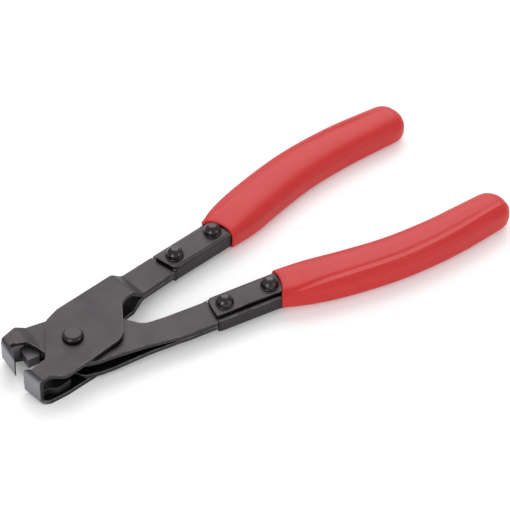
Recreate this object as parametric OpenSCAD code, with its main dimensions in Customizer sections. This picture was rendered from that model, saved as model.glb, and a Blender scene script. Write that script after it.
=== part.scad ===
// Hand pincers with two folded sheet-steel jaws, riveted channel handles and vinyl grips.
// The frame: +X runs from the pivot to the handle tips, +Z is up as the tool lies flat, and
// the origin is on the pivot axis at the back face of the outer jaw. Each lever is drawn with
// its handle on the +Y side and its jaws closed; swing() turns it to its place at rest.

/* [Steel plate] */
// Thickness of the jaw plates
plate_t = 2.2; // [1.9:0.1:2.8]
// Thickness of the centre anvil, which spaces the inner plates
anvil_t = 5; // [4:0.1:6]
// Free play between an outer plate and the inner plate next to it
plate_play = 0.15; // [0.1:0.05:0.3]
// Outer radius of the folded corners of the jaws
fold_r = 2.4; // [1.6:0.1:2.8]

/* [Jaws] */
// Angle between the levers at rest, from where the handles are parallel
open_angle = 13; // [8:0.5:18]
// Distance from the pivot to the working end of the jaws
jaw_reach = 28.5; // [27:0.5:32]
// Width of the outer jaw's end wall
outer_jaw_w = 11.5; // [9:0.5:14]
// Width of the inner jaw's end wall
inner_jaw_w = 13.2; // [11:0.5:14]
// Gap between the jaw lips when the handles are parallel
lip_gap = 0.8; // [0.2:0.1:1.4]
// Thickness of the ground lips at their tips
lip_tip_t = 0.5; // [0.4:0.1:1.5]
// Distance from the pivot to the striking end of the centre anvil
anvil_reach = 21.7; // [20:0.1:23]

/* [Pivot] */
// Diameter of the pivot pin
pin_d = 6.6; // [5:0.1:8]
// Radial running clearance of the inner lever on the pin
pin_clearance = 0.05; // [0.02:0.01:0.1]
// Diameter of the pin's head
pin_head_d = 9.6; // [9:0.1:12]
// Height of the pin's head
pin_head_h = 2.6; // [1.4:0.1:3.2]

/* [Tangs and handles] */
// Distance from the pivot to the end of the outer plates' joggle, where the tang starts
tang_x = 44; // [42:0.5:48]
// Width of the tangs and of the handle channels
tang_w = 14.6; // [13:0.1:16]
// Distance of the tang's middle line from the tool's middle line when closed
tang_y = 12; // [11:0.1:13]
// Distance from the pivot to the near end of the handle channels
channel_x = 63; // [60:0.5:68]
// Wall thickness of the handle channels
channel_t = 1.9; // [1.5:0.1:2.2]
// Overall length from the pivot to the tips of the grips, when closed
handle_reach = 215; // [205:1:235]

/* [Rivets] */
// Diameter of the handle rivets' shanks
rivet_d = 4.8; // [4:0.1:6]
// Diameter of the rivets' domed heads
rivet_head_d = 8.6; // [7.5:0.1:9.5]
// Height of the rivets' domed heads at the front
rivet_head_h = 4; // [2.5:0.1:4.2]
// Height of the rivets' flatter set heads at the back
rivet_set_h = 2.3; // [1.4:0.1:2.6]
// Distance between the two rivets of a handle
rivet_pitch = 23; // [20:0.5:25]

/* [Grips] */
// Thickness of the vinyl at the sides of a handle
vinyl_t = 1.6; // [1.2:0.1:2.4]
// Height of the grips
grip_h = 14; // [12:0.1:15]
// Distance from the channel's near end to the grip's near end
grip_inset = 32; // [31:0.5:40]

/* [Hidden] */
$fn = 64;

steel = [0.22, 0.21, 0.21];
worn_steel = [0.36, 0.35, 0.35];
vinyl = [0.78, 0.2, 0.19];

// Heights of the stack of plates, from the back face of the outer jaw up
inner_back_z = plate_t + plate_play;
anvil_z = inner_back_z + plate_t;
inner_front_z = anvil_z + anvil_t;
outer_front_z = inner_front_z + plate_t + plate_play;
stack_h = outer_front_z + plate_t;
mid_z = stack_h / 2;

// Tangs: the two plates of a lever lie together with a hair's slit between them
slit = 0.1;
tang_out = tang_y + tang_w / 2;
tang_in = tang_y - tang_w / 2;
joggle_run = 6;
fit_gap = 0.1;
tongue_half = tang_w / 2 - channel_t - fit_gap;
channel_slant = 2;
channel_corner_r = 3.6;
flange_corner_r = 1.4;
seam_gap = 0.4;
// The tang's shoulder runs along the channel's slanted end
function shoulder_at(y) = channel_x - fit_gap + channel_slant * (tang_y - y) / tang_w;

// Rivets, counted from the channel's end
rivet_x = [channel_x + 6.5, channel_x + 6.5 + rivet_pitch];
rivet_y = tang_y - 0.5;
tongue_end = rivet_x[1] + 8;
channel_h = 2 * plate_t + slit + 2 * channel_t + 2 * fit_gap;
seam_end = channel_x + grip_inset + 20;

// Jaws: the end wall's inner face, the lips' tips and the plates' edges behind the lips
wall_x = plate_t - jaw_reach;
lip_y = -lip_gap / 2;
outer_root_y = -3.2;
inner_root_y = -9.2;
lip_corner_size = 1.6;

// ---- Outlines ------------------------------------------------------------------------

function unit(v) = v / norm(v);

// The points of corner p between a and b, rounded with radius r
function corner(a, p, b, r, steps = 6) =
    r <= 0 ? [p] :
    let (u = unit(a - p), v = unit(b - p), half = acos(u * v) / 2,
         start = p + u * r / tan(half), stop = p + v * r / tan(half),
         c = p + unit(u + v) * r / sin(half),
         from = atan2(start.y - c.y, start.x - c.x), to = atan2(stop.y - c.y, stop.x - c.x),
         sweep = ((to - from + 540) % 360) - 180)
    [for (i = [0:steps]) c + r * [cos(from + sweep * i / steps), sin(from + sweep * i / steps)]];

// A closed outline from [x, y, corner radius] rows
function rounded(rows) =
    let (n = len(rows))
    [for (i = [0:n - 1])
        let (a = rows[(i + n - 1) % n], p = rows[i], b = rows[(i + 1) % n])
        each corner([a.x, a.y], [p.x, p.y], [b.x, b.y], p.z)];

// The tang from the head's outer edge round the tongue and back to its inner edge
tang_rows = [[shoulder_at(tang_out), tang_out, 0],
             [shoulder_at(tang_y + tongue_half), tang_y + tongue_half, 0],
             [tongue_end, tang_y + tongue_half, 2],
             [tongue_end, tang_y - tongue_half, 2],
             [shoulder_at(tang_y - tongue_half), tang_y - tongue_half, 0],
             [shoulder_at(tang_in), tang_in, 0]];

// The ground lip: the end wall goes on past the plates and thins to its tip
function lip_rows(root_y) =
    [[-jaw_reach, lip_y, 0], [lip_tip_t - jaw_reach, lip_y, 0],
     [wall_x, root_y + (lip_y - root_y) * 0.25, 0], [wall_x, root_y, 0]];

// The jaw end of the outer lever's plates, which differs at the front and at the back
outer_front_rows = [[-17.5, -16.4, 6], [-22.5, -outer_jaw_w, 5]];
outer_back_rows = [[-16, -15, 8], [-25, -14, 5]];

// Plan of one of the outer lever's two plates
function outer_plan(jaw_rows) = rounded(concat(
    lip_rows(outer_root_y),
    [[-17.5, -2.2, 3], [-1.8, 16.2, 3], [6, tang_out - 0.9, 12]],
    tang_rows,
    [[31.2, 3.5, 9], [16.8, -14.9, 10]], jaw_rows, [[-jaw_reach, -outer_jaw_w, 0]]));

// Plan of the inner lever's two plates
inner_plan = rounded(concat(
    lip_rows(inner_root_y),
    [[-23.5, -8.9, 3], [-18.4, -7.4, 3], [-15.8, -3.8, 2], [-14.2, -0.4, 2],
     [-2.5, 15.2, 4], [5, 16.8, 15], [28, 17.4, 40], [tang_x + 3, tang_out, 20]],
    tang_rows,
    [[32.5, 4.2, 7], [15.5, -13.8, 10], [-3, -17, 12],
     [-19.8, -18.2, 3], [1.2 - jaw_reach, -inner_jaw_w - 1.8, 1], [-jaw_reach, -inner_jaw_w, 0]]));

// Side view of the outer lever: a U of plate whose legs joggle together at the tang
outer_joggle = plate_t * tan(atan2(stack_h / 2 - plate_t, joggle_run) / 2);
outer_leg = [[tang_x - joggle_run, stack_h], [tang_x, mid_z + slit / 2 + plate_t],
             [tongue_end + 1, mid_z + slit / 2 + plate_t], [tongue_end + 1, mid_z + slit / 2],
             [tang_x - outer_joggle, mid_z + slit / 2],
             [tang_x - joggle_run - outer_joggle, stack_h - plate_t]];

// Side view of the inner lever: straight at the back, raised at the front of the jaw
inner_top_z = inner_front_z + plate_t;
rise_foot_x = -14.4;
rise_top_x = -19.2;
bend_x = [11.5, tang_x - 1];

// Mirrors a side view's leg about the middle of the stack, and turns it round
function below(leg) = [for (i = [len(leg) - 1:-1:0]) [leg[i].x, stack_h - leg[i].y]];

// ---- Shared shapes -------------------------------------------------------------------

// Turns a lever, drawn closed with its handle at +Y, to its place at rest
module swing(side) {
    rotate([0, 0, side * open_angle / 2])
        mirror([0, side > 0 ? 0 : 1, 0])
            children();
}

// A side view in X and Z, drawn out to both sides of the tool
module side_view(points) {
    translate([0, 60, 0])
        rotate([90, 0, 0])
            linear_extrude(120)
                polygon(points);
}

// A cutter that takes the corner off a lip's lower end
module lip_corner(z) {
    translate([-jaw_reach - 1, 0, 0])
        rotate([90, 0, 90])
            linear_extrude(plate_t + 2)
                polygon([[lip_y - lip_corner_size, z - 1], [lip_y - lip_corner_size, z],
                         [lip_y, z + lip_corner_size], [lip_y + 1, z + lip_corner_size],
                         [lip_y + 1, z - 1]]);
}

// Bores through the tongue for the two rivets of a handle
module rivet_bores() {
    for (x = rivet_x)
        translate([x, rivet_y, -1])
            cylinder(h = stack_h + 2, d = rivet_d + fit_gap);
}

// ---- Outer lever ---------------------------------------------------------------------

module outer_jaw_shell() color(steel) swing(1) {
    difference() {
        intersection() {
            union() {
                linear_extrude(fold_r) polygon(outer_plan(outer_back_rows));
                translate([0, 0, fold_r])
                    linear_extrude(stack_h - fold_r) polygon(outer_plan(outer_front_rows));
            }
            side_view(rounded(concat(
                [[-jaw_reach, stack_h, fold_r]], [for (p = outer_leg) [p.x, p.y, 0]],
                [[wall_x, stack_h - plate_t, 0.4], [wall_x, plate_t, 0.4]],
                [for (p = below(outer_leg)) [p.x, p.y, 0]],
                [[-jaw_reach, 0, fold_r]])));
        }
        lip_corner(0);
        translate([0, 0, -1]) cylinder(h = stack_h + 2, d = pin_d + fit_gap / 2);
        translate([0, 0, -0.01])
            cylinder(h = countersink_h, d1 = pin_tail_d + fit_gap / 2, d2 = pin_d + fit_gap / 2);
        rivet_bores();
    }
}

// The packing plate that lies against the back plate in the outer jaw's hollow, and starts
// clear of the fold's inner radius
packer_h = 3.6;
packer_x = wall_x + 0.5;
module jaw_packer() color(worn_steel) swing(1) {
    translate([0, 0, plate_t])
        linear_extrude(packer_h)
            polygon(rounded([[packer_x, -5.5, 0], [-11.5, -7.5, 1.5], [-11.5, -13, 2],
                             [-20.5, -13.2, 4], [-23, 1.2 - outer_jaw_w, 2],
                             [packer_x, 1.2 - outer_jaw_w, 0]]));
}

// The shouldered pivot pin: a flat chamfered head in front and a flush countersunk tail
countersink_h = 1.4;
pin_tail_d = pin_d + 2.4;
head_flat_d = pin_head_d - 2.2;
module pivot_pin() color(worn_steel) swing(1) {
    rotate_extrude()
        polygon([[0, 0], [pin_tail_d / 2, 0], [pin_d / 2, countersink_h], [pin_d / 2, stack_h],
                 [pin_head_d / 2, stack_h], [pin_head_d / 2, stack_h + pin_head_h * 0.45],
                 [head_flat_d / 2, stack_h + pin_head_h], [0, stack_h + pin_head_h]]);
}

// ---- Inner lever ---------------------------------------------------------------------

module inner_jaw_shell() color(steel) swing(-1) {
    difference() {
        intersection() {
            linear_extrude(stack_h) polygon(inner_plan);
            side_view(rounded([
                [-jaw_reach, stack_h, fold_r], [rise_top_x, stack_h, 2],
                [rise_foot_x, inner_top_z, 2], [bend_x[0], inner_top_z, 0],
                [bend_x[1], mid_z + slit / 2 + plate_t, 0],
                [tongue_end + 1, mid_z + slit / 2 + plate_t, 0],
                [tongue_end + 1, mid_z + slit / 2, 0], [bend_x[1], mid_z + slit / 2, 0],
                [bend_x[0], inner_front_z, 0], [rise_foot_x - 1, inner_front_z, 1],
                [rise_top_x - 1, stack_h - plate_t, 1], [wall_x, stack_h - plate_t, 0.4],
                [wall_x, anvil_z, 0.4], [bend_x[0], anvil_z, 0],
                [bend_x[1], mid_z - slit / 2, 0], [tongue_end + 1, mid_z - slit / 2, 0],
                [tongue_end + 1, mid_z - slit / 2 - plate_t, 0],
                [bend_x[1], mid_z - slit / 2 - plate_t, 0], [bend_x[0], inner_back_z, 0],
                [-jaw_reach, inner_back_z, fold_r]]));
        }
        lip_corner(inner_back_z);
        translate([0, 0, -1]) cylinder(h = stack_h + 2, d = pin_d + 2 * pin_clearance);
        translate([anvil_rivet_x, anvil_rivet_y, -1])
            cylinder(h = stack_h + 2, d = anvil_rivet_d + fit_gap / 2);
        rivet_bores();
    }
}

// The centre anvil: a bar between the inner plates, turning with them on the pin
anvil_rivet_d = 4;
anvil_rivet_x = -4.5;
anvil_rivet_y = -9.5;
module centre_anvil() color(worn_steel) swing(-1) {
    translate([0, 0, anvil_z + 0.02])
        difference() {
            linear_extrude(anvil_t - 0.04)
                polygon(rounded([[-anvil_reach, -1, 0.3], [-16, -1.2, 0.5], [-14.5, -3.4, 0.5],
                                 [-8, -2, 3], [-3, 8, 6], [9, 7, 6], [9, -9, 8],
                                 [-8, -13.5, 4], [-anvil_reach, -9.5, 0.5]]));
            translate([0, 0, -1]) cylinder(h = anvil_t + 2, d = pin_d + 2 * pin_clearance);
            translate([anvil_rivet_x, anvil_rivet_y, -1])
                cylinder(h = anvil_t + 2, d = anvil_rivet_d + fit_gap / 2);
        }
}

// A flush rivet that keeps the anvil from turning between the inner plates
module anvil_rivet() color(worn_steel) swing(-1) {
    translate([anvil_rivet_x, anvil_rivet_y, inner_back_z])
        cylinder(h = inner_top_z - inner_back_z, d = anvil_rivet_d);
}

// ---- Handles -------------------------------------------------------------------------

// Middle line and half width of a handle: [share of the length, sideways bow, widening]
handle_form = [[0, 0, 0], [0.2, 0.1, 0.1], [0.33, 2.5, 2], [0.46, 5.7, 2.3], [0.62, 8, 2],
               [0.78, 7.4, 1.6], [0.9, 5.4, 1.2], [1, 3.3, 0.8]];
handle_len = handle_reach - channel_x - 7;

// A smooth curve through the rows of a table, at parameter t of segment i
function spline(rows, i, t) =
    let (n = len(rows) - 1, a = rows[max(i - 1, 0)], b = rows[i],
         c = rows[min(i + 1, n)], d = rows[min(i + 2, n)])
    0.5 * (2 * b + (c - a) * t + (2 * a - 5 * b + 4 * c - d) * t * t
           + (3 * b - a - 3 * c + d) * t * t * t);
form_steps = 4;
form = [for (i = [1:len(handle_form) - 2], k = [0:form_steps - 1])
            spline(handle_form, i, k / form_steps), handle_form[len(handle_form) - 1]];

// Stations along the middle line: [x, y, half width]
stations = [for (f = form) [channel_x + f.x * handle_len, tang_y + f.y, tang_w / 2 + f.z]];
function ahead(i) = let (n = len(stations) - 1, a = stations[max(i - 1, 0)],
                         b = stations[min(i + 1, n)]) unit([b.x - a.x, b.y - a.y]);
// The edge of the handle on one side (1 outer, -1 inner), moved out by grow
function edge(side, grow) = [for (i = [0:len(stations) - 1])
    let (s = stations[i], d = ahead(i), w = s.z + grow) [s.x, s.y] + side * w * [-d.y, d.x]];
function reversed(v) = [for (i = [len(v) - 1:-1:0]) v[i]];

// Plan of a handle: rounded, slanted near end, bowed sides and a rounded tip, moved out by
// grow, and by near at the near end, whose corners have radius corner_r before they move out
function handle_plan(grow, near, corner_r) =
    let (inner = edge(-1, grow), outer = reversed(edge(1, grow)), r = corner_r + grow,
         a = [channel_x + channel_slant / 2 - near, tang_in - grow],
         b = [channel_x - channel_slant / 2 - near, tang_out + grow])
    concat(
        corner(b, a, inner[0], r), inner,
        [for (t = [-75:15:75])
            let (s = stations[len(stations) - 1], d = ahead(len(stations) - 1), w = s.z + grow)
            [s.x, s.y] + w * 0.8 * cos(t) * d + w * sin(t) * [-d.y, d.x]],
        outer, corner(outer[len(outer) - 1], b, a, r));

// A folded channel: closed on the inner side, with a seam along the top of the outer side,
// where the front wall ends short and the side flange's rim lies below it
module handle_channel() {
    back_z = mid_z - channel_h / 2;
    cavity_h = channel_h - 2 * channel_t;
    difference() {
        union() {
            translate([0, 0, back_z])
                linear_extrude(channel_h - channel_t) polygon(handle_plan(0, 0, flange_corner_r));
            translate([0, 0, back_z + channel_h - channel_t])
                linear_extrude(channel_t) polygon(handle_plan(0, 0, channel_corner_r));
        }
        translate([0, 0, back_z + channel_t])
            linear_extrude(cavity_h)
                union() {
                    polygon(handle_plan(-channel_t, -channel_t, channel_corner_r));
                    translate([channel_x - 10, tang_y - tongue_half - fit_gap])
                        square([20, 2 * (tongue_half + fit_gap)]);
                }
        translate([0, 0, back_z + channel_t + cavity_h])
            linear_extrude(channel_t + 1)
                difference() {
                    translate([channel_x - 10, tang_y]) square([seam_end - channel_x + 10, 30]);
                    polygon(handle_plan(-channel_t - seam_gap, 12, channel_corner_r));
                }
        rivet_bores();
    }
}
module upper_handle_channel() color(steel) swing(1) handle_channel();
module lower_handle_channel() color(steel) swing(-1) handle_channel();

// A domed rivet head that stands on a face of the channel
module rivet_head(head_h) {
    dome_r = (pow(rivet_head_d / 2, 2) + pow(head_h, 2)) / (2 * head_h);
    translate([0, 0, channel_h / 2])
        intersection() {
            translate([0, 0, head_h - dome_r]) sphere(r = dome_r);
            cylinder(h = head_h + 1, d = rivet_head_d);
        }
}

// A rivet through channel and tang, with a tall head in front and a flatter one behind
module handle_rivet(i) {
    translate([rivet_x[i], rivet_y, mid_z]) {
        cylinder(h = channel_h + 0.2, d = rivet_d, center = true);
        rivet_head(rivet_head_h);
        mirror([0, 0, 1]) rivet_head(rivet_set_h);
    }
}
module upper_front_rivet() color(worn_steel) swing(1) handle_rivet(0);
module upper_rear_rivet() color(worn_steel) swing(1) handle_rivet(1);
module lower_front_rivet() color(worn_steel) swing(-1) handle_rivet(0);
module lower_rear_rivet() color(worn_steel) swing(-1) handle_rivet(1);

// ---- Grips ---------------------------------------------------------------------------

ring_points = 24;
mouth_t = 1.4;
grip_x = channel_x + grip_inset;
// Rings of the sleeve: its own stations start at the grip's near end
grip_rings = [for (i = [0:len(stations) - 1]) if (stations[i].x > grip_x + 3) i];
function blend_in(x) = let (t = min(1, max(0, (x - grip_x) / 22))) t * t * (3 - 2 * t);
function ring_h(x) = (channel_h + (grip_h - channel_h) * blend_in(x)) / 2 + mouth_t * (1 - blend_in(x));
function ring_w(x) = mouth_t + (vinyl_t - mouth_t) * blend_in(x);
// Squareness of a ring: nearly square at the mouth, where it lies close round the channel
function ring_power(x) = 0.5 + 0.25 * blend_in(x);

// One ring of the sleeve about point c, across direction d, half width w and half height h
function ring(c, d, w, h, p) = [for (k = [0:ring_points - 1])
    let (a = 360 * k / ring_points,
         u = sign(cos(a)) * pow(abs(cos(a)), p), v = sign(sin(a)) * pow(abs(sin(a)), p))
    [c.x - d.y * w * u, c.y + d.x * w * u, mid_z + h * v]];

// All rings from the near end to the rounded tip
tip = stations[len(stations) - 1];
tip_dir = ahead(len(stations) - 1);
tip_w = tip.z + vinyl_t;
tip_len = 0.8 * tip.z + vinyl_t;
grip_ring_list = concat(
    [ring([grip_x, tang_y], [1, 0], tang_w / 2 + mouth_t, ring_h(grip_x), ring_power(grip_x))],
    [for (i = grip_rings) let (s = stations[i])
        ring([s.x, s.y], ahead(i), s.z + ring_w(s.x), ring_h(s.x), ring_power(s.x))],
    [for (a = [20, 40, 58, 72, 82])
        ring([tip.x, tip.y] + tip_len * sin(a) * tip_dir, tip_dir,
             tip_w * pow(cos(a), 0.8), grip_h / 2 * pow(cos(a), 0.7), 0.75)]);

module grip_body() {
    n = len(grip_ring_list);
    m = ring_points;
    polyhedron(
        points = [for (r = grip_ring_list) each r],
        faces = concat(
            [[for (k = [0:m - 1]) k]],
            [for (j = [0:n - 2], k = [0:m - 1])
                let (a = j * m + k, b = j * m + (k + 1) % m) [a, a + m, b]],
            [for (j = [0:n - 2], k = [0:m - 1])
                let (a = j * m + k, b = j * m + (k + 1) % m) [b, a + m, b + m]],
            [[for (k = [m - 1:-1:0]) (n - 1) * m + k]]));
}

// A vinyl sleeve over the handle channel, open at the near end and cut clear of the rear rivet
module grip() {
    difference() {
        grip_body();
        translate([0, 0, mid_z - channel_h / 2 - fit_gap / 2])
            linear_extrude(channel_h + fit_gap)
                polygon(handle_plan(fit_gap / 2, fit_gap / 2, channel_corner_r));
        translate([rivet_x[1], rivet_y, -1])
            cylinder(h = stack_h + 2, d = rivet_head_d + 0.6);
    }
}
module upper_grip() color(vinyl) swing(1) grip();
module lower_grip() color(vinyl) swing(-1) grip();

outer_jaw_shell();
jaw_packer();
pivot_pin();
upper_handle_channel();
upper_front_rivet();
upper_rear_rivet();
upper_grip();
inner_jaw_shell();
centre_anvil();
anvil_rivet();
lower_handle_channel();
lower_front_rivet();
lower_rear_rivet();
lower_grip();
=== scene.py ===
"""Tile nippers: hand pincers of folded, blackened steel plate with dipped vinyl grips.

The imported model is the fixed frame. Each class below takes pieces of it, builds the visible
meshes from their measures and dresses them. Values named *_mm are millimetres, values named
*_deg are degrees, and everything that reaches Blender is in metres.
"""

import logging
import math
from dataclasses import dataclass, field
from enum import Enum

import bmesh
import bpy
import numpy as np
from mathutils import Matrix, Vector


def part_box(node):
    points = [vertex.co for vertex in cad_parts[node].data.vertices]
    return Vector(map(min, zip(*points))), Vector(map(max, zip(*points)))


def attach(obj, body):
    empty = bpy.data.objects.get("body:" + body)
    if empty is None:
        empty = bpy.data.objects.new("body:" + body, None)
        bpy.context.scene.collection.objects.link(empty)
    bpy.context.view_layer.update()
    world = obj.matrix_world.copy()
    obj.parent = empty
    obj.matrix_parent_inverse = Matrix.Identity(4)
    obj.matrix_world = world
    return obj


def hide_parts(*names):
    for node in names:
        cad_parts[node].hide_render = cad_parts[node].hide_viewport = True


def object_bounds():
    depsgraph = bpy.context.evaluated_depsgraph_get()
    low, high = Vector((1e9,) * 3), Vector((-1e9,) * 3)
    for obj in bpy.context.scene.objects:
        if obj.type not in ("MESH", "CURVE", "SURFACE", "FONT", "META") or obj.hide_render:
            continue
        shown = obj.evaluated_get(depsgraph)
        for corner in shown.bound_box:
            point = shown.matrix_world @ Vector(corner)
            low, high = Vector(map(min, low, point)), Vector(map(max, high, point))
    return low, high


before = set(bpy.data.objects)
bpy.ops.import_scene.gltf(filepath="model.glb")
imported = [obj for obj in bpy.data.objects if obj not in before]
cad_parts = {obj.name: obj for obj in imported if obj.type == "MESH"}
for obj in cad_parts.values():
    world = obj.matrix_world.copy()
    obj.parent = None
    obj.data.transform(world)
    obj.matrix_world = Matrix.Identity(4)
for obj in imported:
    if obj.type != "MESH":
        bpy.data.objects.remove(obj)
CAD_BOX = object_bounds()
MM = 0.001
LOG = logging.getLogger("tile_nippers")
# The values that a noise texture mostly stays between
NOISE_SPAN = (0.3, 0.7)


# ---- Colours and nodes ---------------------------------------------------------------------


def linear(hex_colour: str, alpha: float = 1.0) -> tuple[float, float, float, float]:
    """Turns an sRGB hex colour into the linear RGBA that a shader socket takes.

    Args:
        hex_colour: Six hex digits after a hash, such as "#c93f3f".
        alpha: The fourth value.

    Returns:
        Red, green, blue and alpha, linear.
    """
    def channel(start: int) -> float:
        """One channel, from the two digits at this place."""
        value = int(hex_colour[start:start + 2], 16) / 255
        return value / 12.92 if value <= 0.04045 else ((value + 0.055) / 1.055) ** 2.4

    return channel(1), channel(3), channel(5), alpha


def add_node(tree: bpy.types.NodeTree, kind: str, settings: dict[str, object] | None = None,
             links: dict[str | int, bpy.types.NodeSocket] | None = None) -> bpy.types.Node:
    """Adds a node with its settings and links.

    Args:
        tree: The material's node tree.
        kind: The node's type name.
        settings: Values by attribute name, or by socket name where there is no such attribute.
        links: Output sockets by the name or number of the input socket they feed.

    Returns:
        The new node.
    """
    node = tree.nodes.new(kind)
    for name, value in (settings or {}).items():
        if hasattr(node, name):
            setattr(node, name, value)
    for name, value in (settings or {}).items():
        if not hasattr(node, name):
            node.inputs[name].default_value = value
    for name, output in (links or {}).items():
        tree.links.new(output, node.inputs[name])
    return node


def blank_material(name: str) -> bpy.types.Material:
    """Makes a material with an empty node tree.

    Args:
        name: The material's name.

    Returns:
        The material.
    """
    material = bpy.data.materials.new(name)
    material.use_nodes = True
    material.node_tree.nodes.clear()
    return material


def per_mm(size_mm: float) -> float:
    """The texture scale that gives a pattern of this size."""
    return 1 / (size_mm * MM)


# ---- Finishes ------------------------------------------------------------------------------


@dataclass(frozen=True)
class SteelFinish:
    """Steel under a thin oxide, with grain, soft blotches and edges worn bright.

    The oxide is a dark grey that mirrors only a little and blurs what it mirrors, so a face
    turned to the light is mid grey and a face turned away is nearly black. Deep corners get a
    painted shade that darkens their colour further.
    """

    name: str
    oxide: str
    blotch: str
    bare: str
    roughness: tuple[float, float] = (0.38, 0.5)
    metallic: float = 1.0
    blotch_mm: float = 13.0
    blotch_span: tuple[float, float] = (0.35, 0.7)
    # Mill grain is finer than this; it is drawn this coarse so that it still breaks the sheen
    grain_mm: float = 0.5
    grain_stretch: tuple[float, float, float] = (1.0, 1.0, 1.0)
    grain_height_mm: float = 0.012
    grain_strength: float = 0.6
    # Edges wear through in patches; wear is the share of bare steel in the worst of them
    patch_mm: float = 4.0
    patch_span: tuple[float, float] = (0.35, 0.65)
    wear: float = 0.6
    least_wear: float = 0.15
    ground_cover: tuple[float, float] = (0.8, 1.0)
    # Painted shade: the colour darkens where little of the sky is open within the depth of a
    # recess
    recess_shade: str = "#171515"
    recess_mm: float = 9.0
    recess_span: tuple[float, float] = (0.15, 0.55)

    def build(self) -> bpy.types.Material:
        """Makes the material.

        Returns:
            A material with a Principled shader fed by procedural textures.
        """
        material = blank_material(self.name)
        tree = material.node_tree
        place = add_node(tree, "ShaderNodeTexCoord").outputs["Object"]
        blotches = add_node(tree, "ShaderNodeTexNoise",
                            {"Scale": per_mm(self.blotch_mm), "Detail": 5.0, "Roughness": 0.6},
                            {"Vector": place})
        along = add_node(tree, "ShaderNodeMapping", {"Scale": self.grain_stretch},
                         {"Vector": place})
        grain = add_node(tree, "ShaderNodeTexNoise",
                         {"Scale": per_mm(self.grain_mm), "Detail": 3.0, "Roughness": 0.55},
                         {"Vector": along.outputs["Vector"]})
        spread = add_node(tree, "ShaderNodeMapRange",
                          {"From Min": self.blotch_span[0], "From Max": self.blotch_span[1]},
                          {"Value": blotches.outputs["Fac"]})
        oxide = add_node(tree, "ShaderNodeMix",
                         {"data_type": "RGBA", "A": linear(self.oxide),
                          "B": linear(self.blotch)},
                         {"Factor": spread.outputs["Result"]})
        bare = add_node(tree, "ShaderNodeMix",
                        {"data_type": "RGBA", "B": linear(self.bare)},
                        {"A": oxide.outputs["Result"], "Factor": self.worn(tree, grain, place)})
        # Painted shade: ambient occlusion blends the colour towards a near black in recesses and
        # deep corners
        open_sky = add_node(tree, "ShaderNodeAmbientOcclusion",
                            {"samples": 8, "Distance": self.recess_mm * MM})
        painted_shade_share = add_node(tree, "ShaderNodeMapRange",
                           {"From Min": self.recess_span[0], "From Max": self.recess_span[1],
                            "To Min": 1.0, "To Max": 0.0},
                           {"Value": open_sky.outputs["AO"]})
        recess_shaded = add_node(tree, "ShaderNodeMix",
                          {"data_type": "RGBA", "B": linear(self.recess_shade)},
                          {"A": bare.outputs["Result"], "Factor": painted_shade_share.outputs["Result"]})
        rough = add_node(tree, "ShaderNodeMapRange",
                         {"From Min": NOISE_SPAN[0], "From Max": NOISE_SPAN[1],
                          "To Min": self.roughness[0], "To Max": self.roughness[1]},
                         {"Value": blotches.outputs["Fac"]})
        bump = add_node(tree, "ShaderNodeBump",
                        {"Strength": self.grain_strength,
                         "Distance": self.grain_height_mm * MM},
                        {"Height": grain.outputs["Fac"]})
        shader = add_node(tree, "ShaderNodeBsdfPrincipled", {"Metallic": self.metallic},
                          {"Base Color": recess_shaded.outputs["Result"],
                           "Roughness": rough.outputs["Result"],
                           "Normal": bump.outputs["Normal"]})
        add_node(tree, "ShaderNodeOutputMaterial", links={"Surface": shader.outputs["BSDF"]})
        return material

    def worn(self, tree: bpy.types.NodeTree, grain: bpy.types.Node,
             place: bpy.types.NodeSocket) -> bpy.types.NodeSocket:
        """Where the oxide is gone: ground faces nearly wholly, edges in patches.

        Args:
            tree: The material's node tree.
            grain: The fine noise that breaks up the ground faces.
            place: The texture coordinate.

        Returns:
            The socket that holds the share of bare steel.
        """
        edge = add_node(tree, "ShaderNodeAttribute", {"attribute_name": "edge_wear"})
        ground = add_node(tree, "ShaderNodeAttribute", {"attribute_name": "ground_face"})
        patches = add_node(tree, "ShaderNodeTexNoise",
                           {"Scale": per_mm(self.patch_mm), "Detail": 4.0, "Roughness": 0.7},
                           {"Vector": place})
        gate = add_node(tree, "ShaderNodeMapRange",
                        {"From Min": self.patch_span[0], "From Max": self.patch_span[1],
                         "To Min": self.least_wear * self.wear, "To Max": self.wear},
                        {"Value": patches.outputs["Fac"]})
        edges = add_node(tree, "ShaderNodeMath", {"operation": "MULTIPLY"},
                         {0: edge.outputs["Fac"], 1: gate.outputs["Result"]})
        cover = add_node(tree, "ShaderNodeMapRange",
                         {"From Min": NOISE_SPAN[0], "From Max": NOISE_SPAN[1],
                          "To Min": self.ground_cover[0], "To Max": self.ground_cover[1]},
                         {"Value": grain.outputs["Fac"]})
        faces = add_node(tree, "ShaderNodeMath", {"operation": "MULTIPLY"},
                         {0: ground.outputs["Fac"], 1: cover.outputs["Result"]})
        both = add_node(tree, "ShaderNodeMath", {"operation": "MAXIMUM"},
                        {0: edges.outputs["Value"], 1: faces.outputs["Value"]})
        return both.outputs["Value"]


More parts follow.
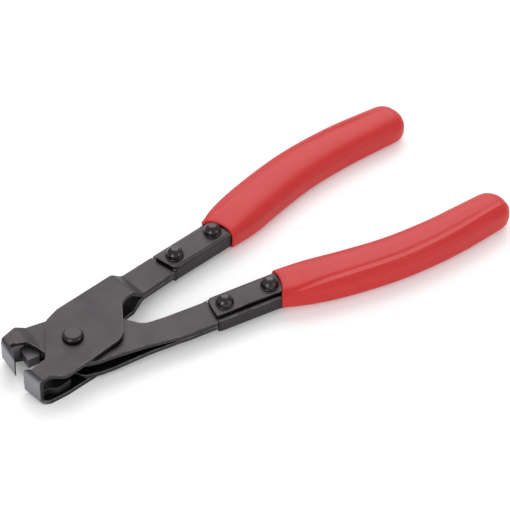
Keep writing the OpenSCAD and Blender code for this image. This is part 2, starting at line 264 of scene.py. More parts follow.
@dataclass(frozen=True)
class VinylFinish:
    """Plastisol vinyl, dipped over the handle: soft gloss and a faint orange peel."""

    name: str
    deep: str
    bright: str
    roughness: tuple[float, float] = (0.4, 0.5)
    refraction: float = 1.45
    specular_level: float = 0.42
    # The peel of a dipped coat and the slow waves where it ran before it set
    peel_mm: float = 1.4
    peel_height_mm: float = 0.02
    flow_mm: float = 11.0
    flow_height_mm: float = 0.09
    bump_strength: float = 0.5
    # Light goes a little way into the vinyl, red the furthest
    depth_share: float = 0.06
    depth_mm: float = 1.5
    depth_by_colour: tuple[float, float, float] = (1.0, 0.2, 0.15)

    def build(self) -> bpy.types.Material:
        """Makes the material.

        Returns:
            A material with a Principled shader fed by procedural textures.
        """
        material = blank_material(self.name)
        tree = material.node_tree
        place = add_node(tree, "ShaderNodeTexCoord").outputs["Object"]
        flow = add_node(tree, "ShaderNodeTexNoise",
                        {"Scale": per_mm(self.flow_mm), "Detail": 2.0}, {"Vector": place})
        peel = add_node(tree, "ShaderNodeTexNoise",
                        {"Scale": per_mm(self.peel_mm), "Detail": 2.0}, {"Vector": place})
        colour = add_node(tree, "ShaderNodeMix",
                          {"data_type": "RGBA", "A": linear(self.deep),
                           "B": linear(self.bright)},
                          {"Factor": flow.outputs["Fac"]})
        rough = add_node(tree, "ShaderNodeMapRange",
                         {"From Min": NOISE_SPAN[0], "From Max": NOISE_SPAN[1],
                          "To Min": self.roughness[0], "To Max": self.roughness[1]},
                         {"Value": peel.outputs["Fac"]})
        waves = add_node(tree, "ShaderNodeBump",
                         {"Strength": self.bump_strength, "Distance": self.flow_height_mm * MM},
                         {"Height": flow.outputs["Fac"]})
        skin = add_node(tree, "ShaderNodeBump",
                        {"Strength": self.bump_strength, "Distance": self.peel_height_mm * MM},
                        {"Height": peel.outputs["Fac"], "Normal": waves.outputs["Normal"]})
        shader = add_node(tree, "ShaderNodeBsdfPrincipled",
                          {"IOR": self.refraction, "Specular IOR Level": self.specular_level,
                           "Subsurface Weight": self.depth_share,
                           "Subsurface Radius": self.depth_by_colour,
                           "Subsurface Scale": self.depth_mm * MM},
                          {"Base Color": colour.outputs["Result"],
                           "Roughness": rough.outputs["Result"],
                           "Normal": skin.outputs["Normal"]})
        add_node(tree, "ShaderNodeOutputMaterial", links={"Surface": shader.outputs["BSDF"]})
        return material


class Finish(Enum):
    """The finishes of the tool, each with the name of a material slot in the record, kept but not
    read here.
    """

    # Cold-rolled sheet under a hot black oxide: brownish charcoal, satin, grey at worn edges
    PLATE = ("blackened_plate",
             SteelFinish("black_oxide_sheet_steel", "#3a3739", "#4a4647", "#8d8c90", wear=0.65))
    # Ground tool steel, lightly oxidised: greyer, with the fine lines of the grinding wheel; its
    # recesses get a lighter painted shade
    GROUND = ("bright_steel",
              SteelFinish("ground_tool_steel", "#5c595b", "#676466", "#8d8c8e",
                          roughness=(0.5, 0.6), metallic=0.55, grain_mm=0.35,
                          grain_stretch=(1.0, 6.0, 1.0), wear=0.3, recess_shade="#2c2a2b"))
    # The packing plate deep in the jaw: darker than the sheet, with none of the grinding left to
    # see
    PACKING = ("bright_steel",
               SteelFinish("dark_packing_steel", "#2e2b2c", "#373435", "#6d6b6c",
                           roughness=(0.45, 0.55), metallic=0.8, wear=0.5))
    # Turned and blackened pin: smoother than the sheet, so its rim picks up a clear light line
    PIN = ("pin_steel",
           SteelFinish("turned_black_steel", "#3c393a", "#464243", "#8d8b8c",
                       roughness=(0.32, 0.42), grain_height_mm=0.006))
    # Rivet heads burnished by the riveting tool: near black with small sharp lights
    RIVET = ("rivet_steel",
             SteelFinish("burnished_black_steel", "#3d3a3b", "#4a4647", "#9a9898",
                         roughness=(0.2, 0.28), grain_height_mm=0.005))
    # Dipped red vinyl: saturated red with a broad soft sheen
    VINYL = ("red_vinyl", VinylFinish("dipped_red_vinyl", "#bd2323", "#c52928"))

    def __init__(self, slot: str, surface: SteelFinish | VinylFinish) -> None:
        """Keeps the slot's name and the surface that fills it."""
        self.slot = slot
        self.surface = surface

    def dress(self, piece: bpy.types.Object) -> None:
        """Puts this finish on a piece.

        Args:
            piece: The object to dress.
        """
        material = bpy.data.materials.get(self.surface.name) or self.surface.build()
        piece.data.materials.clear()
        piece.data.materials.append(material)


# ---- Levers and meshes ---------------------------------------------------------------------


@dataclass(frozen=True)
class Lever:
    """One lever: the body it is and how it stands at rest.

    In the lever's own frame the handles are parallel and this lever's handle is on +Y.
    """

    body: str
    side: int
    half_spread: float = math.radians(6.5)

    @property
    def to_rest(self) -> Matrix:
        """The matrix from the lever's own frame to the tool's frame at rest."""
        mirror = Matrix.Diagonal((1, self.side, 1, 1))
        return Matrix.Rotation(self.side * self.half_spread, 4, "Z") @ mirror

    @property
    def to_own(self) -> Matrix:
        """The matrix from the tool's frame at rest to the lever's own."""
        return self.to_rest.inverted()


OUTER = Lever("outer_lever", 1)
INNER = Lever("inner_lever", -1)


def frame_height(node: str) -> tuple[float, float]:
    """Lowest and highest z of a CAD node, in metres."""
    lo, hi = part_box(node)
    return lo.z, hi.z


def new_piece(name: str, mesh: bpy.types.Mesh) -> bpy.types.Object:
    """Makes an object of a mesh and puts it in the scene.

    Args:
        name: The object's name.
        mesh: Its mesh.

    Returns:
        The object.
    """
    piece = bpy.data.objects.new(name, mesh)
    bpy.context.scene.collection.objects.link(piece)
    return piece


def shade(mesh: bpy.types.Mesh, crease_deg: float) -> None:
    """Shades a mesh smooth, with edges sharper than crease_deg left crisp."""
    mesh.shade_smooth()
    mesh.set_sharp_from_angle(angle=math.radians(crease_deg))


def mount(piece: bpy.types.Object, lever: Lever, node: str, finish: Finish) -> None:
    """Dresses a piece, lets it ride on its lever and stand for its CAD node.

    Args:
        piece: The new object, in place.
        lever: The lever it belongs to.
        node: The CAD node that it stands for.
        finish: Its finish.
    """
    finish.dress(piece)
    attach(piece, lever.body)
    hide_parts(node)


def grid_mesh(name: str, rings: np.ndarray) -> bpy.types.Mesh:
    """A tube through closed rings of points, with a face over each end.

    Args:
        name: The mesh's name.
        rings: Points by ring, by place round the ring, by axis; in metres.

    Returns:
        The mesh.
    """
    count, around = rings.shape[:2]
    faces = [[j * around + k, j * around + (k + 1) % around,
              (j + 1) * around + (k + 1) % around, (j + 1) * around + k]
             for j in range(count - 1) for k in range(around)]
    faces.append(list(range(around))[::-1])
    faces.append([(count - 1) * around + k for k in range(around)])
    mesh = bpy.data.meshes.new(name)
    mesh.from_pydata(rings.reshape(-1, 3).tolist(), [], faces)
    bm = bmesh.new()
    bm.from_mesh(mesh)
    bmesh.ops.recalc_face_normals(bm, faces=bm.faces)
    bm.to_mesh(mesh)
    bm.free()
    return mesh


# ---- Sheet and bar pieces: softened copies of the CAD shapes --------------------------------


@dataclass
class SoftenedPiece:
    """A copy of a CAD piece whose sheared edges are broken and whose bends are rolled."""

    node: str
    lever: Lever
    finish: Finish
    # Widths of a broken edge and of a rolled bend, and their share of the face beside them
    edge_mm: float = 0.4
    bend_mm: float = 1.6
    room_share: float = 0.3
    segments: int = 3
    # An edge that turns further than edge_deg is sheared; past bend_deg, a long one is a bend
    edge_deg: float = 55.0
    bend_deg: float = 20.0
    bend_run_mm: float = 3.0
    # Edges this near an upright inner corner stay sharp, because there is no room for a roll
    pocket_mm: float = 0.7
    inner_turn: float = 0.35
    upright_share: float = 0.7
    # The cleaning of the CAD mesh and the shading of the result
    weld_mm: float = 0.002
    flat_deg: float = 0.6
    crease_deg: float = 35.0
    # The stretch of the working end that is ground, and how squarely a ground face looks ahead
    ground_end_mm: float = 0.0
    ground_slope: float = 1.6
    ground_offset: float = 0.5
    strip_share: float = 0.8

    def build(self) -> bpy.types.Object:
        """Builds, dresses and mounts the piece.

        Returns:
            The new object.
        """
        bm = bmesh.new()
        bm.from_mesh(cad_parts[self.node].data)
        bmesh.ops.remove_doubles(bm, verts=bm.verts, dist=self.weld_mm * MM)
        bmesh.ops.dissolve_limit(bm, angle_limit=math.radians(self.flat_deg),
                                 verts=bm.verts, edges=bm.edges)
        widest = max(self.edge_mm, self.bend_mm)
        weights = bm.edges.layers.float.new("bevel_weight_edge")
        pockets = self.inner_corners(bm)
        for edge in bm.edges:
            edge[weights] = self.width_mm(edge, pockets) / widest
        mesh = bpy.data.meshes.new(self.node + "_rough")
        bm.to_mesh(mesh)
        bm.free()
        # The second slot marks the broken edges, for mark_wear
        mesh.materials.append(None)
        mesh.materials.append(None)
        broken = self.modified(mesh, "BEVEL", limit_method="WEIGHT", width=widest * MM,
                               segments=self.segments, use_clamp_overlap=False, material=1)
        self.mark_wear(broken)
        self.roll_folds(broken)
        shade(broken, self.crease_deg)
        done = self.modified(broken, "WEIGHTED_NORMAL", keep_sharp=True)
        piece = new_piece(self.node + "_softened", done)
        mount(piece, self.lever, self.node, self.finish)
        return piece

    def modified(self, mesh: bpy.types.Mesh, kind: str, **settings: object) -> bpy.types.Mesh:
        """A mesh as one modifier leaves it.

        Args:
            mesh: The mesh to change; it is copied.
            kind: The modifier's type.
            settings: The modifier's settings.

        Returns:
            The new mesh.
        """
        holder = new_piece(self.node + "_work", mesh)
        modifier = holder.modifiers.new("step", kind)
        for name, value in settings.items():
            setattr(modifier, name, value)
        evaluated = holder.evaluated_get(bpy.context.evaluated_depsgraph_get())
        result = bpy.data.meshes.new_from_object(evaluated)
        bpy.data.objects.remove(holder)
        return result

    def roll_folds(self, mesh: bpy.types.Mesh) -> None:
        """Rounds the folds that are wider than a broken edge; a plain plate has none."""

    def inner_corners(self, bm: bmesh.types.BMesh) -> list[Vector]:
        """Ends of the upright inner corners, where broken edges have least room.

        Args:
            bm: The cleaned CAD mesh.

        Returns:
            Places in metres.
        """
        places = []
        for edge in bm.edges:
            if len(edge.link_faces) != 2 or edge.is_convex:
                continue
            run = edge.verts[1].co - edge.verts[0].co
            upright = abs(run.z) > self.upright_share * run.length
            if upright and edge.calc_face_angle(0.0) >= self.inner_turn:
                places += [v.co.copy() for v in edge.verts]
        return places

    def width_mm(self, edge: bmesh.types.BMEdge, pockets: list[Vector]) -> float:
        """How far an edge is broken or rolled.

        Args:
            edge: An edge of the cleaned CAD mesh.
            pockets: Ends of the upright inner corners.

        Returns:
            The bevel's width in millimetres, 0 to leave the edge.
        """
        if len(edge.link_faces) != 2:
            return 0.0
        if any((v.co - p).length < self.pocket_mm * MM for v in edge.verts for p in pockets):
            return 0.0
        turn = math.degrees(edge.calc_face_angle(0.0))
        room = min(self.reach(edge, face) for face in edge.link_faces) / MM * self.room_share
        if turn > self.edge_deg:
            return min(self.edge_mm, room)
        if turn > self.bend_deg and edge.calc_length() > self.bend_run_mm * MM:
            return min(self.bend_mm, room)
        return 0.0

    def reach(self, edge: bmesh.types.BMEdge, face: bmesh.types.BMFace) -> float:
        """How far a face reaches from one of its edges, square to it.

        Args:
            edge: The edge.
            face: A face beside it.

        Returns:
            The distance in metres.
        """
        start = edge.verts[0].co
        along = (edge.verts[1].co - start).normalized()
        return max(((v.co - start) - along * (v.co - start).dot(along)).length
                   for v in face.verts)

    def mark_wear(self, mesh: bpy.types.Mesh) -> None:
        """Writes where edges are worn and where the working end is ground.

        Args:
            mesh: The softened mesh; its second material slot marks the broken edges.
        """
        count = len(mesh.vertices)
        touching = np.zeros(count)
        broken = np.zeros(count)
        strip = self.edge_mm * MM * self.strip_share
        for face in mesh.polygons:
            corners = [mesh.vertices[v].co for v in face.vertices]
            longest = max((a - b).length for a, b in zip(corners, corners[1:] + corners[:1]))
            narrow = face.material_index == 1 and face.area < longest * strip
            for v in face.vertices:
                touching[v] += 1
                broken[v] += narrow
            face.material_index = 0
        wear = np.where(broken >= touching, 1.0, 0.0)
        mesh.attributes.new("edge_wear", "FLOAT", "POINT").data.foreach_set("value", wear)
        own = np.array(self.lever.to_own.to_3x3())
        co = np.array([v.co for v in mesh.vertices]) @ own.T
        normals = np.array([v.normal for v in mesh.vertices]) @ own.T
        ahead = np.clip(-normals[:, 0] * self.ground_slope - self.ground_offset, 0, 1)
        ground = ahead * (co[:, 0] < co[:, 0].min() + self.ground_end_mm * MM)
        mesh.attributes.new("ground_face", "FLOAT", "POINT").data.foreach_set("value", ground)


@dataclass(frozen=True)
class Fold:
    """One long fold of a channel: where its sharp corner is, and which way in is along z."""

    y: float
    z: float
    into_z: float


@dataclass
class HandleChannel(SoftenedPiece):
    """The folded channel of a handle: its three long folds are rolled wider than its cut edges.

    Cut lines laid beside each closed corner give the surface points to bend, and each point
    that stands outside the fold's arc is drawn in onto it.
    """

    fold_mm: float = 2.3
    fold_steps: int = 5
    # The folds are sharp at the channel's end and reach their full radius over this length
    run_in_mm: float = 6.0
    run_in_cuts_mm: tuple[float, ...] = (1.0, 1.8, 2.6, 3.4, 4.2, 5.0, 6.0, 8.0)
    # The sides are measured on the straight first stretch; the grip hides what is past 99 mm
    straight_mm: float = 25.0
    covered_x_mm: float = 99.0

    def roll_folds(self, mesh: bpy.types.Mesh) -> None:
        """Rounds the channel's closed corners.

        Args:
            mesh: The mesh with its cut edges already broken.
        """
        bm = bmesh.new()
        bm.from_mesh(mesh)
        bm.transform(self.lever.to_own)
        start, _, bottom = (min(v.co[axis] for v in bm.verts) for axis in range(3))
        top = max(v.co.z for v in bm.verts)
        first = [v.co.y for v in bm.verts if v.co.x < start + self.straight_mm * MM]
        inner, outer = min(first), max(first)
        radius = self.fold_mm * MM
        covered = self.covered_x_mm * MM
        depths = [radius * (1 - math.cos(math.radians(a)))
                  for a in np.linspace(0, 90, self.fold_steps + 1)[1:]]
        sides = ((1, inner, 1), (1, outer, -1), (2, bottom, 1), (2, top, -1))
        cuts = [(axis, level + toward * depth) for axis, level, toward in sides
                for depth in depths]
        cuts += [(0, start + step * MM) for step in self.run_in_cuts_mm] + [(0, covered)]
        for axis, level in cuts:
            normal = Vector((0, 0, 0))
            normal[axis] = 1.0
            bmesh.ops.bisect_plane(bm, geom=bm.verts[:] + bm.edges[:] + bm.faces[:],
                                   plane_co=normal * level, plane_no=normal, dist=1e-7)
        folds = (Fold(inner, bottom, 1), Fold(inner, top, -1), Fold(outer, bottom, 1))
        for vert in bm.verts:
            if vert.co.x >= covered:
                continue
            share = min(1.0, max(0.0, (vert.co.x - start) / (self.run_in_mm * MM)))
            for fold in folds:
                self.draw_in(vert, fold, radius * share * share * (3 - 2 * share))
        bm.transform(self.lever.to_rest)
        bm.to_mesh(mesh)
        bm.free()

    def draw_in(self, vert: bmesh.types.BMVert, fold: Fold, r: float) -> None:
        """Moves a point outside a fold's arc onto the arc, on its own side of the corner.

        Args:
            vert: The point, in the lever's own frame.
            fold: The fold.
            r: The fold's outer radius here, in metres.
        """
        a, b = abs(vert.co.y - fold.y), abs(vert.co.z - fold.z)
        away = math.hypot(r - a, r - b)
        if a >= r or b >= r or away <= r:
            return
        a, b = r - (r - a) * r / away, r - (r - b) * r / away
        vert.co.y = fold.y + math.copysign(a, vert.co.y - fold.y)
        vert.co.z = fold.z + fold.into_z * b


# ---- Turned pieces ---------------------------------------------------------------------------


@dataclass
class TurnedPiece:
    """A piece turned about an upright axis, such as a pin or a rivet."""

    node: str
    lever: Lever
    finish: Finish
    around: int = 96
    centre_mm: float = 0.01
    crease_deg: float = 50.0

    def profile(self, radius: float, low: float, high: float) -> list[tuple[float, float]]:
        """The outline from the lower centre to the upper one, as radius and height.

        Args:
            radius: The largest radius, in millimetres.
            low: The lowest point.
            high: The highest point.

        Returns:
            Points in millimetres.
        """
        raise NotImplementedError

    def build(self) -> bpy.types.Object:
        """Builds, dresses and mounts the piece.

        Returns:
            The new object.
        """
        lo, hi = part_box(self.node)
        outline = self.profile((hi.x - lo.x) / 2 / MM, lo.z / MM, hi.z / MM)
        turns = np.linspace(0, 2 * math.pi, self.around, endpoint=False)
        rings = np.array([[((lo.x + hi.x) / 2 + r * MM * math.cos(t),
                            (lo.y + hi.y) / 2 + r * MM * math.sin(t), z * MM)
                           for t in turns] for r, z in outline])
        mesh = grid_mesh(self.node + "_turned", rings)
        shade(mesh, self.crease_deg)
        piece = new_piece(self.node + "_turned", mesh)
        mount(piece, self.lever, self.node, self.finish)
        return piece


def rounded_run(corners: list[tuple[float, float, float]],
                steps: int = 6) -> list[tuple[float, float]]:
    """Points along a broken line whose corners are rounded.

    Args:
        corners: Radius, height and corner radius of each corner, in millimetres.
        steps: Segments of each rounded corner.

    Returns:
        Points as radius and height.
    """
    points: list[tuple[float, float]] = []
    for i, (r, z, size) in enumerate(corners):
        if size <= 0 or i in (0, len(corners) - 1):
            points.append((r, z))
            continue
        p = np.array((r, z))
        to_a = np.array(corners[i - 1][:2]) - p
        to_b = np.array(corners[i + 1][:2]) - p
        a = p + to_a / np.linalg.norm(to_a) * size
        b = p + to_b / np.linalg.norm(to_b) * size
        for t in np.linspace(0, 1, steps + 1):
            q = (1 - t) ** 2 * a + 2 * t * (1 - t) * p + t ** 2 * b
            points.append((float(q[0]), float(q[1])))
    return points


@dataclass
class SnapRivet(TurnedPiece):
    """A handle rivet: a tall burnished dome in front and a flatter set head behind."""

    shank_mm: float = 4.8
    channel_mm: float = 8.5
    # The low collar round each dome: its height, its broken foot, and its top corner as pairs
    # of how far inside the rim and how far below the collar's top
    collar_mm: float = 0.55
    foot_mm: float = 0.15
    collar_corner_mm: tuple[tuple[float, float], ...] = ((0.02, 0.2), (0.18, 0.04))
    # The dome: how far it stands inside the rim, and how full it is (1 is an ellipse)
    dome_inset_mm: float = 0.35
    dome_power: float = 0.9
    dome_last_deg: float = 88.0
    dome_steps: int = 18

    def profile(self, radius: float, low: float, high: float) -> list[tuple[float, float]]:
        """The rivet's outline, from the back head's crown to the front dome's.

        Args:
            radius: The heads' radius, in millimetres.
            low: Height of the back head's crown.
            high: Height of the front dome's crown.

        Returns:
            Points as radius and height, in millimetres.
        """
        front = frame_height("upper_handle_channel")[1] / MM
        back = front - self.channel_mm
        points = [(self.centre_mm, low)]
        points += self.dome(radius, back, low)[::-1]
        points += [(self.shank_mm / 2, back), (self.shank_mm / 2, front)]
        points += self.dome(radius, front, high)
        return points + [(self.centre_mm, high)]

    def dome(self, radius: float, face: float, crown: float) -> list[tuple[float, float]]:
        """A head from its rim on the face up to its crown.

        Args:
            radius: The head's radius.
            face: Height of the face it stands on.
            crown: Height of its crown.

        Returns:
            Points as radius and height, from the rim to near the crown.
        """
        toward = math.copysign(1, crown - face)
        rise = abs(crown - face) - self.collar_mm
        points = [(radius - self.foot_mm, face), (radius, face + toward * self.foot_mm)]
        points += [(radius - inside, face + toward * (self.collar_mm - below))
                   for inside, below in self.collar_corner_mm]
        for a in np.linspace(0, self.dome_last_deg, self.dome_steps):
            r = (radius - self.dome_inset_mm) * math.cos(math.radians(a)) ** self.dome_power
            z = self.collar_mm + rise * math.sin(math.radians(a))
            points.append((r, face + toward * z))
        return points


@dataclass
class PivotPin(TurnedPiece):
    """The pivot: a flat head with a soft chamfer, a plain shank and a countersunk tail."""

    shank_mm: float = 6.6
    tail_mm: float = 9.0
    sink_mm: float = 1.4
    # The head's chamfer starts at this share of its height and leaves this share of it flat
    rim_share: float = 0.5
    flat_share: float = 0.83
    # A very slight dish in the head's middle, from this share of the radius inwards
    dish_share: float = 0.3
    dish_mm: float = 0.06

    def profile(self, radius: float, low: float, high: float) -> list[tuple[float, float]]:
        """The pin's outline, from its flush tail to its flat head.

        Args:
            radius: The head's radius, in millimetres.
            low: Height of the tail's end.
            high: Height of the head's face.

        Returns:
            Points as radius and height, in millimetres.
        """
        face = frame_height("outer_jaw_shell")[1] / MM
        rim = face + (high - face) * self.rim_share
        tail = [(self.centre_mm, low, 0), (self.tail_mm / 2, low, 0.15),
                (self.shank_mm / 2, low + self.sink_mm, 0.1)]
        head = [(self.shank_mm / 2, face, 0), (radius, face, 0.15), (radius, rim, 0.5),
                (radius * self.flat_share, high, 0.8),
                (radius * self.dish_share, high - self.dish_mm * 2 / 3, 0.1),
                (self.centre_mm, high - self.dish_mm, 0)]
        return rounded_run(tail + head)


# ---- Grips -----------------------------------------------------------------------------------


@dataclass(frozen=True)
class Section:
    """One cross-section of a grip, in millimetres in the lever's own frame."""

    x: float
    middle: float
    half_w: float
    half_h: float


@dataclass(frozen=True)
class SleeveLine:
    """The run of a grip: its sections from the mouth to the tip, and their common level."""

    sections: list[Section]
    level: float

    @property
    def mouth(self) -> Section:
        """The first section."""
        return self.sections[0]

    @property
    def length(self) -> float:
        """How far the sleeve runs from its mouth to its tip."""
        return self.sections[-1].x - self.mouth.x


@dataclass
class VinylGrip:
    """A dipped vinyl sleeve that follows the CAD grip's outline along the handle.

    Its section is a squarish oval. A soft ridge with a groove above it shows where the
    channel's seam lies under the vinyl.
    """

    node: str
    lever: Lever
    stations: int = 110
    around: int = 144
    wall_mm: float = 1.45
    crease_deg: float = 60.0
    # The outline is measured between these gaps, more closely towards the tip, and smoothed,
    # but for its last 9 mm
    mouth_gap_mm: float = 0.02
    end_gap_mm: float = 0.1
    spacing_power: float = 0.9
    smooth_passes: int = 6
    tip_kept_mm: float = 9.0
    # The mouth isn't square to the handle, and this fades out behind it
    mouth_slant_mm: float = 2.0
    mouth_bow_mm: float = 1.6
    mouth_shift_mm: float = 1.0
    mouth_fade_mm: float = 14.0
    # The section's power at the mouth and beyond, where 1 is an ellipse and 0 a rectangle, and
    # how much rounder it is towards the tip and on the inner upper side
    squareness: tuple[float, float] = (0.5, 0.54)
    mouth_run_mm: float = 22.0
    inner_top_round: float = 0.24
    tip_round: float = 0.1
    tip_run_mm: float = 26.0
    # The ridge and the groove: place round the section, height and spread
    ridge_deg: float = 53.0
    ridge_mm: float = 0.5
    ridge_spread_deg: float = 4.2
    groove_deg: float = 64.0
    groove_mm: float = 0.34
    groove_spread_deg: float = 4.8
    # They start lower at the mouth and climb over the last half of the grip
    mouth_drop_deg: float = 26.0
    mouth_drop_run_mm: float = 16.0
    tip_climb_deg: float = 9.0
    # They fade over the tip's run, later the larger tip_fade is, and where the grip is thin
    tip_fade: float = 1.3
    thin_mm: float = 6.0
    # The rounded end: how small its last ring is, and how far it stands out
    end_share: float = 0.35
    end_mm: float = 0.12
    # The rolled lip from inside the sleeve outwards: how far along the handle, and how deep
    # in the wall
    lip_run: tuple[tuple[float, float], ...] = (
        (7.0, 1.0), (2.0, 1.0), (0.5, 0.97), (0.16, 0.82), (0.03, 0.6), (0.0, 0.42),
        (0.05, 0.25), (0.22, 0.09), (0.6, 0.0))

    def build(self) -> bpy.types.Object:
        """Builds, dresses and mounts the grip.

        Returns:
            The new object.
        """
        line = self.outline()
        # The first two stations are the lip's
        rings = self.lip(line) + [self.ring(s, line) for s in line.sections[2:]]
        tip = np.array(rings[-1]).mean(axis=0)
        rings.append([list(tip + (np.array(p) - tip) * self.end_share
                           + np.array([self.end_mm, 0, 0])) for p in rings[-1]])
        points = np.array(rings) * MM
        matrix = np.array(self.lever.to_rest)
        points = points @ matrix[:3, :3].T + matrix[:3, 3]
        mesh = grid_mesh(self.node + "_sleeve", points)
        shade(mesh, self.crease_deg)
        piece = new_piece(self.node + "_sleeve", mesh)
        mount(piece, self.lever, self.node, Finish.VINYL)
        return piece

    def outline(self) -> SleeveLine:
        """Measures the CAD grip slice by slice.

        Returns:
            The grip's sections and level.
        """
        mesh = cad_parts[self.node].data
        own = np.array(self.lever.to_own)
        co = (np.array([v.co for v in mesh.vertices]) @ own[:3, :3].T + own[:3, 3]) / MM
        ends = np.array([e.vertices for e in mesh.edges])
        a, b = co[ends[:, 0]], co[ends[:, 1]]
        low, high = co[:, 0].min(), co[:, 0].max()
        t = np.linspace(0, 1, self.stations)
        run = high - low - self.mouth_gap_mm - self.end_gap_mm
        x = low + self.mouth_gap_mm + run * np.sin(t * math.pi / 2) ** self.spacing_power
        rows = []
        for place in x:
            cut = (a[:, 0] - place) * (b[:, 0] - place) < 0
            s = ((place - a[cut, 0]) / (b[cut, 0] - a[cut, 0]))[:, None]
            p = a[cut] + (b[cut] - a[cut]) * s
            rows.append((p[:, 1].min(), p[:, 1].max(), p[:, 2].min(), p[:, 2].max()))
        rows = np.array(rows)
        body = x < high - self.tip_kept_mm
        for _ in range(self.smooth_passes):
            smooth = rows.copy()
            smooth[1:-1] = (rows[:-2] + 2 * rows[1:-1] + rows[2:]) / 4
            rows = np.where(body[:, None], smooth, rows)
        sections = [Section(place, (y0 + y1) / 2, (y1 - y0) / 2, (z1 - z0) / 2)
                    for place, (y0, y1, z0, z1) in zip(x, rows)]
        return SleeveLine(sections, float((co[:, 2].min() + co[:, 2].max()) / 2))

    def ring(self, at: Section, line: SleeveLine, inset: float = 0.0) -> list[list[float]]:
        """One ring of the sleeve, in the lever's own frame.

        Args:
            at: The section.
            line: The sleeve's run.
            inset: How far inside the outer surface the ring lies.

        Returns:
            The ring's points in millimetres.
        """
        along = at.x - line.mouth.x
        from_mouth = min(1.0, along / self.mouth_run_mm)
        to_tip = min(1.0, max(0.0, (line.length - along) / self.tip_run_mm))
        power = self.squareness[0] + (self.squareness[1] - self.squareness[0]) * from_mouth
        power += self.tip_round * (1 - to_tip)
        detail = min(1.0, to_tip * self.tip_fade) * min(1.0, at.half_h / self.thin_mm)
        lower = self.mouth_drop_deg * math.exp(-along / self.mouth_drop_run_mm)
        lower -= self.tip_climb_deg * max(0.0, along / line.length * 2 - 1)
        slide = max(0.0, 1 - along / self.mouth_fade_mm)
        points = []
        for a in np.linspace(0, 360, self.around, endpoint=False):
            c, s = math.cos(math.radians(a)), math.sin(math.radians(a))
            bend = power + (self.inner_top_round * from_mouth if c < 0 < s else 0.0)
            u = math.copysign(abs(c) ** bend, c)
            v = math.copysign(abs(s) ** bend, s)
            seen = math.degrees(math.atan2(v, u)) + lower
            ridge = math.exp(-((seen - self.ridge_deg) / self.ridge_spread_deg) ** 2)
            groove = math.exp(-((seen - self.groove_deg) / self.groove_spread_deg) ** 2)
            grow = (self.ridge_mm * ridge - self.groove_mm * groove) * detail - inset
            points.append([at.x + self.mouth_slide(u) * slide,
                           at.middle + u * at.half_w + u * grow,
                           line.level + v * at.half_h + v * grow])
        return points

    def mouth_slide(self, u: float) -> float:
        """How far the mouth lies along the handle at share u of the half width."""
        return self.mouth_shift_mm - self.mouth_slant_mm * u + self.mouth_bow_mm * (1 - u * u)

    def lip(self, line: SleeveLine) -> list[list[list[float]]]:
        """The rolled lip of the mouth and the sleeve's inner wall behind it.

        Args:
            line: The sleeve's run.

        Returns:
            Rings from inside the sleeve, round the lip, to its outer surface.
        """
        rings = []
        for forward, depth in self.lip_run:
            ring = self.ring(line.mouth, line, depth * self.wall_mm)
            rings.append([[p[0] + forward, p[1], p[2]] for p in ring])
        return rings


# ---- Stage, light and camera -------------------------------------------------------------------


def direction(azimuth_deg: float, elevation_deg: float) -> Vector:
    """The unit vector from the tool towards a place at this azimuth and elevation."""
    a, e = math.radians(azimuth_deg), math.radians(elevation_deg)
    return Vector((math.sin(a) * math.cos(e), -math.cos(a) * math.cos(e), math.sin(e)))


@dataclass(frozen=True)
class Softbox:
    """A soft area light that faces the tool; its sizes are in metres."""

    name: str
    azimuth_deg: float
    elevation_deg: float
    distance: float
    width: float
    height: float
    watts: float

    def hang(self, target: Vector) -> None:
        """Puts the light in the scene.

        Args:
            target: The place that it faces.
        """
        offset = direction(self.azimuth_deg, self.elevation_deg) * self.distance
        data = bpy.data.lights.new(self.name, "AREA")
        data.shape = "RECTANGLE"
        data.size = self.width
        data.size_y = self.height
        data.energy = self.watts
        light = bpy.data.objects.new(self.name, data)
        light.location = target + offset
        light.rotation_mode = "QUATERNION"
        light.rotation_quaternion = (-offset).to_track_quat("-Z", "Y")
        light.visible_camera = False
        bpy.context.scene.collection.objects.link(light)


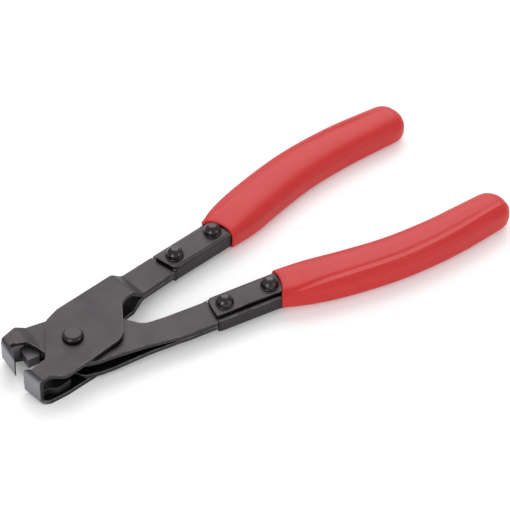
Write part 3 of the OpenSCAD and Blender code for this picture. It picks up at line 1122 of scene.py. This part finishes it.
@dataclass
class Studio:
    """A pale floor, soft lights and the camera; its sizes are in metres."""

    azimuth_deg: float = -36.39
    elevation_deg: float = 42.607
    distance: float = 1.2236
    target: tuple[float, float, float] = (0.09977, 0.00151, 0.00705)
    lens_mm: float = 190.07
    sensor_mm: float = 36.0
    clip: tuple[float, float] = (0.05, 50.0)
    # The floor lies a hair below the tool, so that the two never share a plane
    floor_half: float = 6.0
    floor_gap_mm: float = 0.05
    floor_colour: str = "#f4f4f4"
    floor_glow: float = 0.14
    sky_colour: str = "#f2f3f5"
    sky_strength: float = 0.7
    lights: tuple[Softbox, ...] = (
        Softbox("overhead_softbox", 143.61, 44, 1.6, 1.5, 1.5, 17.0),
        Softbox("left_strip", -68, 26, 1.3, 0.5, 0.7, 5.0),
        Softbox("right_strip", 28, 24, 1.5, 0.4, 0.6, 2.5))

    def build(self) -> None:
        """Builds floor, sky, lights and camera."""
        self.build_floor()
        self.build_sky()
        for light in self.lights:
            light.hang(Vector(self.target))
        self.build_camera()

    def build_floor(self) -> None:
        """Lays a plain pale floor under the lowest point of the tool."""
        low = CAD_BOX[0].z - self.floor_gap_mm * MM
        far = self.floor_half
        mesh = bpy.data.meshes.new("studio_floor")
        mesh.from_pydata([(-far, -far, low), (far, -far, low), (far, far, low),
                          (-far, far, low)], [], [(0, 1, 2, 3)])
        floor = new_piece("studio_floor", mesh)
        material = blank_material("matt_pale_floor")
        tree = material.node_tree
        shader = add_node(tree, "ShaderNodeBsdfPrincipled",
                          {"Base Color": linear(self.floor_colour), "Roughness": 0.9,
                           "Specular IOR Level": 0.1, "Emission Color": linear("#ffffff"),
                           "Emission Strength": self.floor_glow})
        add_node(tree, "ShaderNodeOutputMaterial", links={"Surface": shader.outputs["BSDF"]})
        mesh.materials.append(material)

    def build_sky(self) -> None:
        """Sets an even pale surround."""
        world = bpy.data.worlds.new("pale_surround")
        world.use_nodes = True
        tree = world.node_tree
        tree.nodes.clear()
        sky = add_node(tree, "ShaderNodeBackground",
                       {"Color": linear(self.sky_colour), "Strength": self.sky_strength})
        add_node(tree, "ShaderNodeOutputWorld", links={"Surface": sky.outputs["Background"]})
        bpy.context.scene.world = world

    def build_camera(self) -> None:
        """Places the camera and makes it the scene's."""
        data = bpy.data.cameras.new("camera")
        data.lens = self.lens_mm
        data.sensor_width = self.sensor_mm
        data.clip_start, data.clip_end = self.clip
        camera = bpy.data.objects.new("camera", data)
        back = direction(self.azimuth_deg, self.elevation_deg)
        camera.location = Vector(self.target) + back * self.distance
        camera.rotation_mode = "QUATERNION"
        camera.rotation_quaternion = (-back).to_track_quat("-Z", "Y")
        bpy.context.scene.collection.objects.link(camera)
        bpy.context.scene.camera = camera
        bpy.context.scene.view_settings.view_transform = "Standard"


# ---- The whole tool ----------------------------------------------------------------------------


@dataclass
class JawHead:
    """The working end: two folded jaws, the packer, the anvil with its rivet, and the pin."""

    ground_lip_mm: float = 4.0
    packer_edge_mm: float = 0.25
    anvil_edge_mm: float = 0.3
    anvil_rivet_edge_mm: float = 0.2

    def build(self) -> list[bpy.types.Object]:
        """Builds the pieces of the working end.

        Returns:
            The new objects.
        """
        makers = [
            SoftenedPiece("outer_jaw_shell", OUTER, Finish.PLATE,
                          ground_end_mm=self.ground_lip_mm),
            SoftenedPiece("jaw_packer", OUTER, Finish.PACKING, edge_mm=self.packer_edge_mm),
            PivotPin("pivot_pin", OUTER, Finish.PIN),
            SoftenedPiece("inner_jaw_shell", INNER, Finish.PLATE,
                          ground_end_mm=self.ground_lip_mm),
            SoftenedPiece("centre_anvil", INNER, Finish.GROUND, edge_mm=self.anvil_edge_mm),
            SoftenedPiece("anvil_rivet", INNER, Finish.GROUND,
                          edge_mm=self.anvil_rivet_edge_mm),
        ]
        return [maker.build() for maker in makers]


@dataclass
class Handle:
    """One handle: a folded channel, the two rivets that hold it, and a dipped grip."""

    prefix: str
    lever: Lever

    def build(self) -> list[bpy.types.Object]:
        """Builds the pieces of the handle.

        Returns:
            The new objects.
        """
        makers = [
            HandleChannel(f"{self.prefix}_handle_channel", self.lever, Finish.PLATE),
            SnapRivet(f"{self.prefix}_front_rivet", self.lever, Finish.RIVET),
            SnapRivet(f"{self.prefix}_rear_rivet", self.lever, Finish.RIVET),
            VinylGrip(f"{self.prefix}_grip", self.lever),
        ]
        return [maker.build() for maker in makers]


@dataclass
class TileNippers:
    """The working end and the two handles."""

    head: JawHead = field(default_factory=JawHead)
    upper: Handle = field(default_factory=lambda: Handle("upper", OUTER))
    lower: Handle = field(default_factory=lambda: Handle("lower", INNER))

    def build(self) -> list[bpy.types.Object]:
        """Builds every piece; see the sub-assemblies."""
        return self.head.build() + self.upper.build() + self.lower.build()


def main() -> None:
    """Builds the studio and the tool, and reports each piece."""
    logging.basicConfig(level=logging.INFO, format="%(name)s: %(message)s")
    Studio().build()
    pieces = TileNippers().build()
    for piece in pieces:
        LOG.info("%s: %d faces", piece.name, len(piece.data.polygons))
    LOG.info("built %d pieces", len(pieces))


if __name__ == "__main__":
    main()
